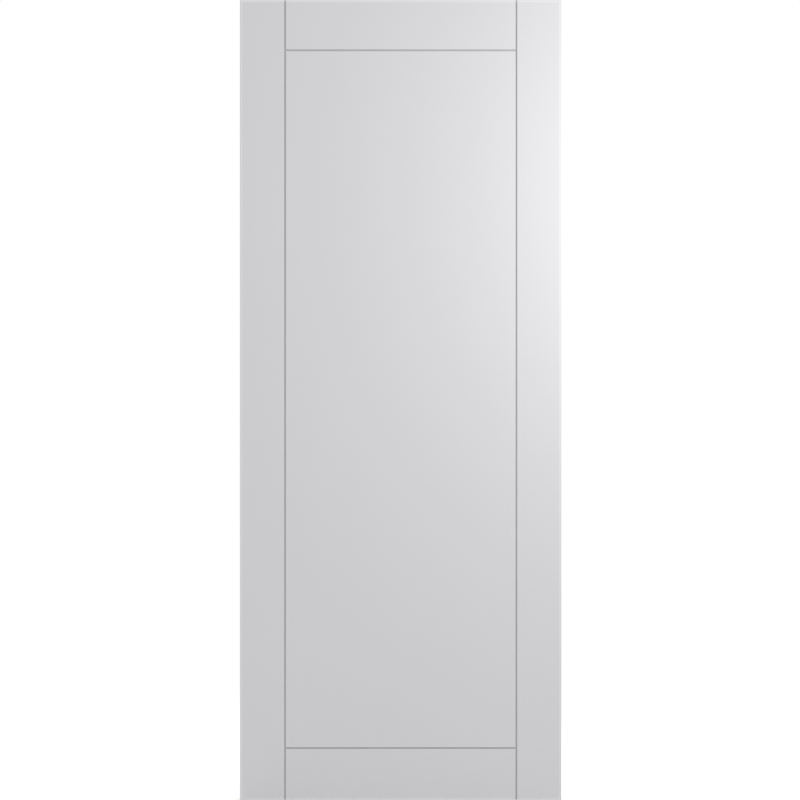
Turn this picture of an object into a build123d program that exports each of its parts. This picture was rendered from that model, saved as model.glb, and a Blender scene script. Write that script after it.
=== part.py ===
from build123d import *
from math import atan2, degrees, hypot, tan
import os

# A hollow core door leaf, supplied as a blank: two grooved fibreboard skins glued over a
# softwood frame, with a lock block beside each stile and a paper honeycomb in the hollow.
# Sizes are in millimetres. X runs across the leaf from its hinge edge, Y runs through its
# thickness from front to back with zero at mid-thickness, and Z runs up from its foot.

# Leaf
leaf_width = 820
leaf_height = 2040
leaf_thickness = 35

# Skins
skin_thickness = 5
skin_edge_radius = 1

# Grooves, the same on both faces, measured from the leaf's edges to the middle of a groove
stile_groove_inset = 115
top_groove_inset = 128
bottom_groove_inset = 132
groove_width = 4.5
groove_floor_width = 3
groove_depth = 2.5
groove_edge_radius = 0.4

# Frame between the skins
stile_width = 30
top_rail_width = 30
bottom_rail_width = 45
vent_diameter = 6
vent_count = 3
cells_between_vents = 2

# Lock blocks, one against each stile so that the leaf can be hung either way
lock_block_width = 100
lock_block_height = 350
lock_block_middle = 1000

# Honeycomb: paper ribbons run across the leaf and are pulled open into six-sided cells
cell_pitch_target = 60
cell_height_target = 68
ribbon_thickness = 1

# How far a cutter reaches past the face that it starts from
cutter_reach = 2

# Places worked out from the sizes above
core_thickness = leaf_thickness - 2 * skin_thickness
front_face = -leaf_thickness / 2
groove_left = stile_groove_inset
groove_right = leaf_width - stile_groove_inset
frame_left = stile_width
frame_right = leaf_width - stile_width
frame_bottom = bottom_rail_width
frame_top = leaf_height - top_rail_width
block_bottom = lock_block_middle - lock_block_height / 2
block_top = lock_block_middle + lock_block_height / 2
between_blocks_left = frame_left + lock_block_width
between_blocks_right = frame_right - lock_block_width


def column_count(width):
    """A multiple of four, so that an open half cell meets the middle of each rail."""
    return 4 * max(1, round(width / (4 * cell_pitch_target)))


def groove_cutter(start, along, length):
    """A straight groove of the shared section that opens at the front face."""
    wall_angle = atan2(groove_depth, (groove_width - groove_floor_width) / 2)
    rim = groove_width / 2 + groove_edge_radius * tan(wall_angle / 2)
    section_plane = Plane(origin=start, x_dir=along.cross(Axis.Y.direction), z_dir=along)
    with BuildPart() as cutter:
        with BuildSketch(section_plane):
            with BuildLine():
                lip = JernArc((-rim, 0), (1, 0), groove_edge_radius, -degrees(wall_angle))
                Polyline(lip @ 1, (-groove_floor_width / 2, -groove_depth), (0, -groove_depth))
                Polyline((-rim, 0), (-rim, cutter_reach), (0, cutter_reach))
                mirror(about=Plane.YZ)
            make_face()
        extrude(amount=length)
    return cutter.part


def honeycomb(left, right, bottom, top):
    """One sheet of opened honeycomb that fills a space of the frame from skin to skin."""
    width = right - left
    height = top - bottom
    columns = column_count(width)
    rows = max(1, round(height / cell_height_target))
    pitch = width / columns
    cell_height = height / rows

    # A cell has two flats, each glued to the next ribbon, and four sloping sides of one ply
    half_flat = pitch / 3
    slope_run = pitch - 2 * half_flat
    side_inset = ribbon_thickness * hypot(cell_height / 2, slope_run) / cell_height
    flat_height = cell_height / 2 - ribbon_thickness
    flat_end = half_flat + slope_run * 2 * ribbon_thickness / cell_height - side_inset
    point_end = half_flat + slope_run - side_inset

    back_middle = ((left + right) / 2, core_thickness / 2, (bottom + top) / 2)
    with BuildPart() as sheet:
        with BuildSketch(Plane(origin=back_middle, x_dir=(1, 0, 0), z_dir=(0, -1, 0))):
            Rectangle(width, height)
            for across, up in ((columns // 2 + 1, rows + 1), (columns // 2, rows)):
                with GridLocations(2 * pitch, cell_height, across, up):
                    Polygon(
                        (point_end, 0),
                        (flat_end, flat_height),
                        (-flat_end, flat_height),
                        (-point_end, 0),
                        (-flat_end, -flat_height),
                        (flat_end, -flat_height),
                        mode=Mode.SUBTRACT,
                    )
        extrude(amount=core_thickness)
    return sheet


# Grooves: two up the full height of a skin and two across between them
groove_cutters = []
for x in (groove_left, groove_right):
    foot = Vector(x, front_face, -cutter_reach)
    groove_cutters.append(groove_cutter(foot, Vector(0, 0, 1), leaf_height + 2 * cutter_reach))
for z in (bottom_groove_inset, leaf_height - top_groove_inset):
    side = Vector(groove_left, front_face, z)
    groove_cutters.append(groove_cutter(side, Vector(1, 0, 0), groove_right - groove_left))

# Front skin: a sheet with eased edges and the four grooves
with BuildPart() as front_skin:
    with Locations((leaf_width / 2, front_face + skin_thickness / 2, leaf_height / 2)):
        Box(leaf_width, skin_thickness, leaf_height)
    outer_face = front_skin.faces().sort_by(Axis.Y)[0]
    fillet(outer_face.edges(), skin_edge_radius)
    add(groove_cutters, mode=Mode.SUBTRACT)

# Back skin: the same sheet facing the other way
with BuildPart() as back_skin:
    mirror(front_skin.part, about=Plane.XZ)

# Stiles: they run the full height, and the rails are held between them
with BuildPart() as hinge_stile:
    with Locations((stile_width / 2, 0, leaf_height / 2)):
        Box(stile_width, core_thickness, leaf_height)

with BuildPart() as lock_stile:
    mirror(hinge_stile.part, about=Plane.YZ.offset(leaf_width / 2))

# Rails: vent holes let the air out of the hollow while the leaf is pressed
frame_opening = frame_right - frame_left
vent_spacing = 2 * cells_between_vents * frame_opening / column_count(frame_opening)
with BuildPart() as bottom_rail:
    with BuildSketch(Plane.XY.move(Location((leaf_width / 2, 0, 0)))):
        Rectangle(frame_opening, core_thickness)
        with GridLocations(vent_spacing, 0, vent_count, 1):
            Circle(vent_diameter / 2, mode=Mode.SUBTRACT)
    extrude(amount=bottom_rail_width)

with BuildPart() as top_rail:
    with BuildSketch(Plane.XY.move(Location((leaf_width / 2, 0, frame_top)))):
        Rectangle(frame_opening, core_thickness)
        with GridLocations(vent_spacing, 0, vent_count, 1):
            Circle(vent_diameter / 2, mode=Mode.SUBTRACT)
    extrude(amount=top_rail_width)

# Lock blocks
with BuildPart() as hinge_side_block:
    with Locations((frame_left + lock_block_width / 2, 0, lock_block_middle)):
        Box(lock_block_width, core_thickness, lock_block_height)

with BuildPart() as lock_side_block:
    mirror(hinge_side_block.part, about=Plane.YZ.offset(leaf_width / 2))

# Honeycomb: a sheet below the lock blocks, one between them and one above
lower_core = honeycomb(frame_left, frame_right, frame_bottom, block_bottom)
middle_core = honeycomb(between_blocks_left, between_blocks_right, block_bottom, block_top)
upper_core = honeycomb(frame_left, frame_right, block_top, frame_top)

pieces = {
    "front_skin": front_skin,
    "back_skin": back_skin,
    "hinge_stile": hinge_stile,
    "lock_stile": lock_stile,
    "top_rail": top_rail,
    "bottom_rail": bottom_rail,
    "hinge_side_block": hinge_side_block,
    "lock_side_block": lock_side_block,
    "lower_core": lower_core,
    "middle_core": middle_core,
    "upper_core": upper_core,
}
os.makedirs("parts", exist_ok=True)
for name, piece in pieces.items():
    piece.part.label = name
    export_step(piece.part, f"parts/{name}.step")
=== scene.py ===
# Dresses the hollow core door leaf and lights it as the photograph shows it: straight on,
# with an even white surround and one soft lamp off to the right. A second lamp lights its
# back. Lengths are in metres.

import math

import bpy
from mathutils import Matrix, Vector


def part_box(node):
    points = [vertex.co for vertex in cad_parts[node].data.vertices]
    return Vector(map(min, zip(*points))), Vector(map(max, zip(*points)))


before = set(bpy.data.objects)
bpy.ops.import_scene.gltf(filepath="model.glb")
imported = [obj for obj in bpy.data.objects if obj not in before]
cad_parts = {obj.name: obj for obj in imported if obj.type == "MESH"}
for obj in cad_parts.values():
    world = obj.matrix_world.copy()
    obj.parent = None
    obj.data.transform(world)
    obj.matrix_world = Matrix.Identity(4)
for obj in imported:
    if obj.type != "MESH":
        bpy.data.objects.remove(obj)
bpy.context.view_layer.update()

# Places read from the frame, whose origin is on the hinge edge, at the foot and mid-thickness
front_low, front_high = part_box("front_skin")
leaf_width = front_high.x - front_low.x
leaf_height = front_high.z - front_low.z
half_thickness = -front_low.y
half_core = -front_high.y
leaf_middle = Vector((leaf_width / 2, front_low.y, leaf_height / 2))

# Photograph: where the leaf lies in its frame of 800 by 800 pixels
image_size_px = 800
leaf_height_px = 799.8
leaf_middle_px = 400.65

# Camera
lens_mm = 200
sensor_mm = 36
level_pitch = math.radians(90)

# Detail of noise: how many finer layers it has, and how strong they are
least_detail = 1.0
usual_detail = 2.0
rich_detail = 3.0
usual_detail_strength = 0.5
fibre_detail_strength = 0.6

# Primer: faint clouds in its tone, a fine stipple, and below the face, which is in the grooves
# and round the eased edge, painted shade and a duller coat
primer_colour = (0.65, 0.65, 0.664, 1)
primer_roughness_range = (0.73, 0.79)
primer_roughness_scale = 60.0
cloud_tones = (0.993, 1.007)
cloud_scale = 6.0
stipple_height = 0.00004
stipple_scale = 850.0
# Painted shade: the primer's darker colour below the face, in the grooves and round the eased edge
groove_painted_shade_colour = (0.50, 0.50, 0.51, 1)
groove_shade_start = 0.0001
groove_shade_depth = 0.0015
groove_extra_roughness = 0.12

# Primer's edge: it wraps over the eased edge and ends in a ragged line on the sawn one, and
# the side of the skin that is glued stays bare
paint_wrap = 0.0011
paint_wrap_blur = 0.0002
paint_wrap_wander = 0.0008
paint_wrap_scale = 240.0
sawn_edge_margin = 0.00003
unpainted_glue_side = 0.0006

# Painted highlight: a lighter line just inside the eased edge
painted_highlight_inset = 0.0038
painted_highlight_half_width = 0.0017
painted_highlight_gain = 1.12

# Raw fibreboard on the sawn edges
board_light = (0.48, 0.33, 0.19, 1)
board_dark = (0.27, 0.17, 0.092, 1)
board_roughness = 0.85
board_relief = 0.00025
board_tone_range = (0.2, 1.0)
fibre_scale = 1600.0
fibre_share = 0.9
saw_mark_scale = 700.0
saw_mark_stretch = (1.0, 0.05, 1.0)
saw_mark_share = 0.5
dense_skin_start = 0.0006
dense_skin_share = 0.35
glue_colour = (0.30, 0.20, 0.10, 1)
glue_line_width = 0.0003

# Pine: which way each piece runs, and its tones
pine_pieces = {
    "hinge_stile": "Z",
    "lock_stile": "Z",
    "top_rail": "X",
    "bottom_rail": "X",
    "hinge_side_block": "Z",
    "lock_side_block": "Z",
}
pine_early = (0.56, 0.395, 0.225, 1)
pine_late = (0.36, 0.21, 0.095, 1)
late_wood_strength = 0.75
pine_roughness_range = (0.58, 0.74)
pine_relief = 0.00015
pine_fibre_scale = 1900.0
pine_fibre_stretch = 0.025
pine_fibre_tones = (0.88, 1.1)
streak_scale = 260.0
streak_stretch = 0.04
streak_tones = (0.9, 1.08)
board_tones = (0.86, 1.05)
end_grain_tone = 0.72
end_grain_facing = (0.5, 0.9)

# Finger joints: boards of one length, and the glue seam's widths as shares of that length.
# Each piece starts some boards further on, so that no two look alike.
pine_board_length = 0.47
board_step_per_piece = 7.37
finger_pitch = 0.0042
finger_length = 0.011
seam_core = 0.0008
seam_edge = 0.0026
seam_strength = 0.65
fibre_relief_share = 0.6
seam_relief_share = 0.8

# Growth rings: how far the pith lies from a board, through the leaf's thickness and sideways,
# and how the rings lean, sway and vary
pith_through_range = (0.03, 0.08)
pith_sideways_range = (-0.04, 0.04)
ring_spacing = 0.0032
ring_lean = 0.012
ring_sway = 0.003
ring_sway_scale = 22.0
ring_sway_stretch = 0.12
ring_unevenness = 0.0045
ring_unevenness_scale = 95.0
late_wood_power = 2.5
late_wood_end = 0.93

# Kraft paper in the honeycomb
paper_light = (0.42, 0.29, 0.17, 1)
paper_dark = (0.33, 0.22, 0.125, 1)
paper_fibre_scale = 1300.0
paper_fibre_stretch = (1.0, 1.0, 0.3)
paper_roughness_range = (0.75, 0.9)
paper_relief = 0.0001

# Light: the surround as it lights the leaf and as it is seen, and the two lamps
surround_colour = (1, 1, 1, 1)
surround_strength = 0.91
surround_shown_strength = 1.0
side_lamp_place = Vector((1.78, -0.685, 1.6))
side_lamp_aim = Vector((0, -0.018, 1.54))
side_lamp_size = 0.3
side_lamp_watts = 12.9
back_lamp_place = Vector((-1.3, 2.4, 2.2))
back_lamp_size = 1.2
back_lamp_watts = 18

# Floor: the colour that lights the leaf, and the one that is seen
floor_size = 40
floor_colour = (0.70, 0.70, 0.70, 1)
floor_shown_colour = (1.105, 1.105, 1.105, 1)

# Sockets of a Mix node for each kind of value: first, second and result
mix_sockets = {"RGBA": (6, 7, 2), "VECTOR": (4, 5, 1)}


def empty_tree(owner):
    """The node tree of a material or a world, with nothing in it."""
    owner.use_nodes = True
    owner.node_tree.nodes.clear()
    return owner.node_tree


def add_node(tree, kind, inputs=None, **settings):
    """One shader node. Each input is another node's output, or a plain value."""
    made = tree.nodes.new(kind)
    for name, value in settings.items():
        setattr(made, name, value)
    for key, value in (inputs or {}).items():
        if isinstance(value, bpy.types.NodeSocket):
            tree.links.new(value, made.inputs[key])
        else:
            made.inputs[key].default_value = value
    return made


def compute(tree, operation, *values):
    """The result of one math node."""
    return add_node(tree, "ShaderNodeMath", dict(enumerate(values)), operation=operation).outputs[0]


def away_from(tree, value, target):
    """How far value is from target."""
    return compute(tree, "ABSOLUTE", compute(tree, "SUBTRACT", value, target))


def between(tree, value, low, high):
    """0 where value is at low, 1 where it is at high, with a smooth step between."""
    inputs = {"Value": value, "From Min": low, "From Max": high}
    return add_node(tree, "ShaderNodeMapRange", inputs, interpolation_type="SMOOTHSTEP").outputs[0]


def spread(tree, value, low, high):
    """A value from 0 to 1 put between low and high."""
    inputs = {"Value": value, "To Min": low, "To Max": high}
    return add_node(tree, "ShaderNodeMapRange", inputs).outputs[0]


def mix(tree, kind, factor, first, second):
    """first where factor is 0 and second where it is 1. kind is RGBA for colours, or VECTOR."""
    first_socket, second_socket, result_socket = mix_sockets[kind]
    inputs = {0: factor, first_socket: first, second_socket: second}
    return add_node(tree, "ShaderNodeMix", inputs, data_type=kind).outputs[result_socket]


def toned(tree, colour, factor):
    """A colour made lighter or darker by a factor."""
    inputs = {0: colour, "Scale": factor}
    return add_node(tree, "ShaderNodeVectorMath", inputs, operation="SCALE").outputs[0]


def stretched(tree, place, factors):
    """Coordinates scaled by a factor along each axis."""
    inputs = {0: place, 1: factors}
    return add_node(tree, "ShaderNodeVectorMath", inputs, operation="MULTIPLY").outputs[0]


def noise(tree, place, scale, detail=usual_detail, strength=usual_detail_strength):
    """Cloudy noise from 0 to 1."""
    inputs = {"Vector": place, "Scale": scale, "Detail": detail, "Roughness": strength}
    return add_node(tree, "ShaderNodeTexNoise", inputs).outputs[0]


def bump(tree, height, distance):
    """A bumped normal, where height runs from 0 to 1 and distance is its depth."""
    inputs = {"Height": height, "Distance": distance, "Strength": 1.0}
    return add_node(tree, "ShaderNodeBump", inputs).outputs[0]


def new_material(name):
    """An empty material, its tree, and its object coordinates whole and split."""
    material = bpy.data.materials.new(name)
    tree = empty_tree(material)
    place = add_node(tree, "ShaderNodeTexCoord").outputs["Object"]
    split = add_node(tree, "ShaderNodeSeparateXYZ", {0: place})
    return material, tree, place, split.outputs


def finish_material(tree, colour, roughness, normal):
    """Gives the material its surface."""
    inputs = {"Base Color": colour, "Roughness": roughness, "Normal": normal}
    surface = add_node(tree, "ShaderNodeBsdfPrincipled", inputs)
    add_node(tree, "ShaderNodeOutputMaterial", {"Surface": surface.outputs[0]})


def from_leaf_edge(tree, x, z):
    """Distance in from the nearest edge of the leaf's face."""
    from_side = compute(tree, "MINIMUM", x, compute(tree, "SUBTRACT", leaf_width, x))
    from_end = compute(tree, "MINIMUM", z, compute(tree, "SUBTRACT", leaf_height, z))
    return compute(tree, "MINIMUM", from_side, from_end)


def where_painted(tree, place, from_edge, level, depth):
    """1 on the face, its grooves and the eased edge, and 0 on the sawn edge and the glued side."""
    on_face = between(tree, from_edge, sawn_edge_margin, 2 * sawn_edge_margin)
    wander = compute(tree, "MULTIPLY", noise(tree, place, paint_wrap_scale), paint_wrap_wander)
    past_wrap = compute(tree, "SUBTRACT", depth, wander)
    on_wrap = between(tree, past_wrap, paint_wrap + paint_wrap_blur, paint_wrap)
    not_glued = between(tree, level, half_core, half_core + unpainted_glue_side)
    return compute(tree, "MULTIPLY", compute(tree, "MAXIMUM", on_face, on_wrap), not_glued)


def primer_tone(tree, place, from_edge, groove_shade_and_dullness):
    """The primer's colour, with painted shade in the grooves and a painted highlight in a line near
    the leaf's edges.
    """
    # Painted shade: darker primer in the grooves and round the eased edge
    primer = mix(tree, "RGBA", groove_shade_and_dullness, primer_colour, groove_painted_shade_colour)
    # Painted highlight: a lighter line of primer just inside the leaf's edges
    off_painted_highlight = away_from(tree, from_edge, painted_highlight_inset)
    on_painted_highlight = between(tree, off_painted_highlight, painted_highlight_half_width, painted_highlight_half_width / 2)
    clouds = spread(tree, noise(tree, place, cloud_scale, rich_detail), *cloud_tones)
    gain = spread(tree, on_painted_highlight, 1.0, painted_highlight_gain)
    return toned(tree, primer, compute(tree, "MULTIPLY", gain, clouds))


def raw_board_tone(tree, level, fibres, saw_marks):
    """The sawn board's colour, darker where it is dense near its two faces, and its glue line."""
    off_middle = away_from(tree, level, (half_thickness + half_core) / 2)
    dense = between(tree, off_middle, dense_skin_start, (half_thickness - half_core) / 2)
    light_fibres = compute(tree, "MULTIPLY", fibres, fibre_share)
    light_marks = compute(tree, "MULTIPLY", saw_marks, saw_mark_share)
    tone = compute(tree, "ADD", light_fibres, light_marks)
    tone = compute(tree, "SUBTRACT", tone, compute(tree, "MULTIPLY", dense, dense_skin_share))
    board = mix(tree, "RGBA", between(tree, tone, *board_tone_range), board_dark, board_light)
    glue = between(tree, level, half_core + glue_line_width, half_core)
    return mix(tree, "RGBA", glue, board, glue_colour)


def make_primed_fibreboard():
    """Matt primer over the face and its grooves, and raw board where it was sawn or is glued."""
    material, tree, place, (x, y, z) = new_material("primed_fibreboard")
    level = compute(tree, "ABSOLUTE", y)
    depth = compute(tree, "SUBTRACT", half_thickness, level)
    from_edge = from_leaf_edge(tree, x, z)
    painted = where_painted(tree, place, from_edge, level, depth)
    # Painted shade below the face, in the grooves and round the eased edge; the same mask makes the
    # coat duller there
    groove_shade_and_dullness = between(tree, depth, groove_shade_start, groove_shade_depth)
    fibres = noise(tree, place, fibre_scale, rich_detail, fibre_detail_strength)
    saw_marks = noise(tree, stretched(tree, place, saw_mark_stretch), saw_mark_scale, least_detail)

    primer = primer_tone(tree, place, from_edge, groove_shade_and_dullness)
    board = raw_board_tone(tree, level, fibres, saw_marks)

    patches = noise(tree, place, primer_roughness_scale, rich_detail)
    dullness = spread(tree, patches, *primer_roughness_range)
    in_groove_extra = compute(tree, "MULTIPLY", groove_shade_and_dullness, groove_extra_roughness)
    dullness = compute(tree, "ADD", dullness, in_groove_extra)

    smooth_relief = bump(tree, noise(tree, place, stipple_scale), stipple_height)
    rough_relief = bump(tree, compute(tree, "ADD", fibres, saw_marks), board_relief)
    finish_material(
        tree,
        colour=mix(tree, "RGBA", painted, board, primer),
        roughness=spread(tree, painted, board_roughness, dullness),
        normal=mix(tree, "VECTOR", painted, rough_relief, smooth_relief),
    )
    return material


def along_piece(along, factor):
    """Factors that stretch a pattern along a piece that runs in X or in Z."""
    return (1.0, 1.0, factor) if along == "Z" else (factor, 1.0, 1.0)


def finger_joints(tree, length, through, piece_number):
    """The number of the board at a place, and 1 in the zigzag seam between two boards."""
    half_pitch = finger_pitch / 2
    zigzag = compute(tree, "PINGPONG", through, half_pitch)
    shift = compute(tree, "MULTIPLY", zigzag, finger_length / half_pitch)
    shifted = compute(tree, "DIVIDE", compute(tree, "ADD", length, shift), pine_board_length)
    boards = compute(tree, "ADD", shifted, piece_number * board_step_per_piece)
    part = compute(tree, "FRACT", boards)
    to_seam = compute(tree, "MINIMUM", part, compute(tree, "SUBTRACT", 1.0, part))
    return compute(tree, "FLOOR", boards), between(tree, to_seam, seam_edge, seam_core)


def late_wood(tree, place, along, length, through, sideways, luck):
    """How much late wood shows at a place of a board that was sawn somewhere in the log."""
    waves = noise(tree, stretched(tree, place, along_piece(along, ring_sway_stretch)), ring_sway_scale)
    off_through = compute(tree, "SUBTRACT", through, spread(tree, luck[0], *pith_through_range))
    off_through = compute(tree, "ADD", off_through, spread(tree, waves, -ring_sway, ring_sway))
    off_sideways = compute(tree, "SUBTRACT", sideways, spread(tree, luck[1], *pith_sideways_range))
    through_squared = compute(tree, "POWER", off_through, 2.0)
    sideways_squared = compute(tree, "POWER", off_sideways, 2.0)
    radius = compute(tree, "SQRT", compute(tree, "ADD", through_squared, sideways_squared))
    lean = compute(tree, "MULTIPLY", length, spread(tree, luck[2], -ring_lean, ring_lean))
    radius = compute(tree, "ADD", radius, lean)

    # Some years grew wider rings than others
    inputs = {"W": radius, "Scale": ring_unevenness_scale, "Detail": least_detail}
    years = add_node(tree, "ShaderNodeTexNoise", inputs, noise_dimensions="1D").outputs[0]
    radius = compute(tree, "ADD", radius, spread(tree, years, -ring_unevenness, ring_unevenness))

    # A ring darkens slowly outwards, and the next starts pale again
    ring = compute(tree, "FRACT", compute(tree, "DIVIDE", radius, ring_spacing))
    darkening = compute(tree, "POWER", ring, late_wood_power)
    return compute(tree, "MULTIPLY", darkening, between(tree, ring, 1.0, late_wood_end))


def where_end_grain(tree, along):
    """1 on a face that cuts across a piece that runs in X or in Z."""
    normal = add_node(tree, "ShaderNodeNewGeometry").outputs["Normal"]
    facing = add_node(tree, "ShaderNodeSeparateXYZ", {0: normal}).outputs[along]
    return between(tree, compute(tree, "ABSOLUTE", facing), *end_grain_facing)


def make_pine(name, along, piece_number):
    """Clear pine in short boards joined end to end with glued fingers, for one piece of the frame."""
    low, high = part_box(name)
    middle = (low + high) / 2
    material, tree, place, (x, y, z) = new_material(name + "_pine")
    if along == "Z":
        length = z
        sideways = compute(tree, "SUBTRACT", x, middle.x)
    else:
        length = x
        sideways = compute(tree, "SUBTRACT", z, middle.z)
    board, seam = finger_joints(tree, length, y, piece_number)
    chance = add_node(tree, "ShaderNodeTexWhiteNoise", {"W": board}, noise_dimensions="1D").outputs
    luck = add_node(tree, "ShaderNodeSeparateColor", {0: chance["Color"]}).outputs
    late = late_wood(tree, place, along, length, y, sideways, luck)

    fibre_place = stretched(tree, place, along_piece(along, pine_fibre_stretch))
    fibres = noise(tree, fibre_place, pine_fibre_scale, usual_detail, fibre_detail_strength)
    streaks = noise(tree, stretched(tree, place, along_piece(along, streak_stretch)), streak_scale)
    fibre_tone = spread(tree, fibres, *pine_fibre_tones)
    tone = compute(tree, "MULTIPLY", fibre_tone, spread(tree, streaks, *streak_tones))
    tone = compute(tree, "MULTIPLY", tone, spread(tree, chance["Value"], *board_tones))
    end_tone = spread(tree, where_end_grain(tree, along), 1.0, end_grain_tone)
    tone = compute(tree, "MULTIPLY", tone, end_tone)
    late_share = compute(tree, "MULTIPLY", late, late_wood_strength)
    wood = toned(tree, mix(tree, "RGBA", late_share, pine_early, pine_late), tone)
    seam_share = compute(tree, "MULTIPLY", seam, seam_strength)

    raised = compute(tree, "MULTIPLY", fibres, fibre_relief_share)
    sunk = compute(tree, "MULTIPLY", seam, seam_relief_share)
    finish_material(
        tree,
        colour=mix(tree, "RGBA", seam_share, wood, glue_colour),
        roughness=spread(tree, fibres, *pine_roughness_range),
        normal=bump(tree, compute(tree, "SUBTRACT", raised, sunk), pine_relief),
    )
    return material


def make_core_paper():
    """Kraft paper with short fibres."""
    material, tree, place, _ = new_material("core_paper")
    fibre_place = stretched(tree, place, paper_fibre_stretch)
    fibres = noise(tree, fibre_place, paper_fibre_scale, rich_detail, fibre_detail_strength)
    finish_material(
        tree,
        colour=mix(tree, "RGBA", fibres, paper_dark, paper_light),
        roughness=spread(tree, fibres, *paper_roughness_range),
        normal=bump(tree, fibres, paper_relief),
    )
    return material


def dress(nodes, material):
    """Puts one material on the named nodes."""
    for name in nodes:
        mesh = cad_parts[name].data
        mesh.materials.clear()
        mesh.materials.append(material)


def camera_and_gloss(tree):
    """1 where a ray comes from the camera, a gloss or a clear surface, and 0 for light on the leaf."""
    path = add_node(tree, "ShaderNodeLightPath").outputs
    seen = compute(tree, "MAXIMUM", path["Is Camera Ray"], path["Is Glossy Ray"])
    return compute(tree, "MAXIMUM", seen, path["Is Transmission Ray"])


def make_surround():
    """An even white surround, which gives a little less light to the leaf than it shows."""
    world = bpy.data.worlds.new("surround")
    tree = empty_tree(world)
    strength = spread(tree, camera_and_gloss(tree), surround_strength, surround_shown_strength)
    white = add_node(tree, "ShaderNodeBackground", {"Color": surround_colour, "Strength": strength})
    add_node(tree, "ShaderNodeOutputWorld", {"Surface": white.outputs[0]})
    bpy.context.scene.world = world


def make_floor():
    """A pale floor that shows as white and keeps the leaf's shadow."""
    reach = floor_size / 2
    corners = [(-reach, -reach, 0), (reach, -reach, 0), (reach, reach, 0), (-reach, reach, 0)]
    mesh = bpy.data.meshes.new("floor")
    mesh.from_pydata(corners, [], [(0, 1, 2, 3)])
    floor = bpy.data.objects.new("floor", mesh)
    bpy.context.scene.collection.objects.link(floor)

    material = bpy.data.materials.new("floor")
    tree = empty_tree(material)
    colour = mix(tree, "RGBA", camera_and_gloss(tree), floor_colour, floor_shown_colour)
    matt = add_node(tree, "ShaderNodeBsdfDiffuse", {"Color": colour})
    add_node(tree, "ShaderNodeOutputMaterial", {"Surface": matt.outputs[0]})
    mesh.materials.append(material)


def make_lamp(name, place, aim, size, watts):
    """A soft square lamp that the camera doesn't see."""
    lamp = bpy.data.lights.new(name, "AREA")
    lamp.shape = "SQUARE"
    lamp.size = size
    lamp.energy = watts
    stand = bpy.data.objects.new(name, lamp)
    stand.location = place
    stand.rotation_euler = (aim - place).to_track_quat("-Z", "Y").to_euler()
    stand.visible_camera = False
    bpy.context.scene.collection.objects.link(stand)


def make_camera():
    """Looks straight at the front face, which fills the picture from top to bottom."""
    data = bpy.data.cameras.new("camera")
    data.lens = lens_mm
    data.sensor_width = sensor_mm
    metres_per_pixel = leaf_height / leaf_height_px
    distance = metres_per_pixel * image_size_px * lens_mm / sensor_mm
    sideways = (image_size_px / 2 - leaf_middle_px) * metres_per_pixel
    camera = bpy.data.objects.new("camera", data)
    camera.location = leaf_middle + Vector((sideways, -distance, 0))
    camera.rotation_euler = (level_pitch, 0, 0)
    bpy.context.scene.collection.objects.link(camera)
    bpy.context.scene.camera = camera


dress(["front_skin", "back_skin"], make_primed_fibreboard())
for piece_number, (name, along) in enumerate(pine_pieces.items(), start=1):
    dress([name], make_pine(name, along, piece_number))
dress(["lower_core", "middle_core", "upper_core"], make_core_paper())

make_surround()
make_floor()
make_lamp("side_lamp", side_lamp_place, side_lamp_aim, side_lamp_size, side_lamp_watts)
make_lamp("back_lamp", back_lamp_place, leaf_middle, back_lamp_size, back_lamp_watts)
make_camera()
bpy.context.scene.view_settings.view_transform = "Standard"
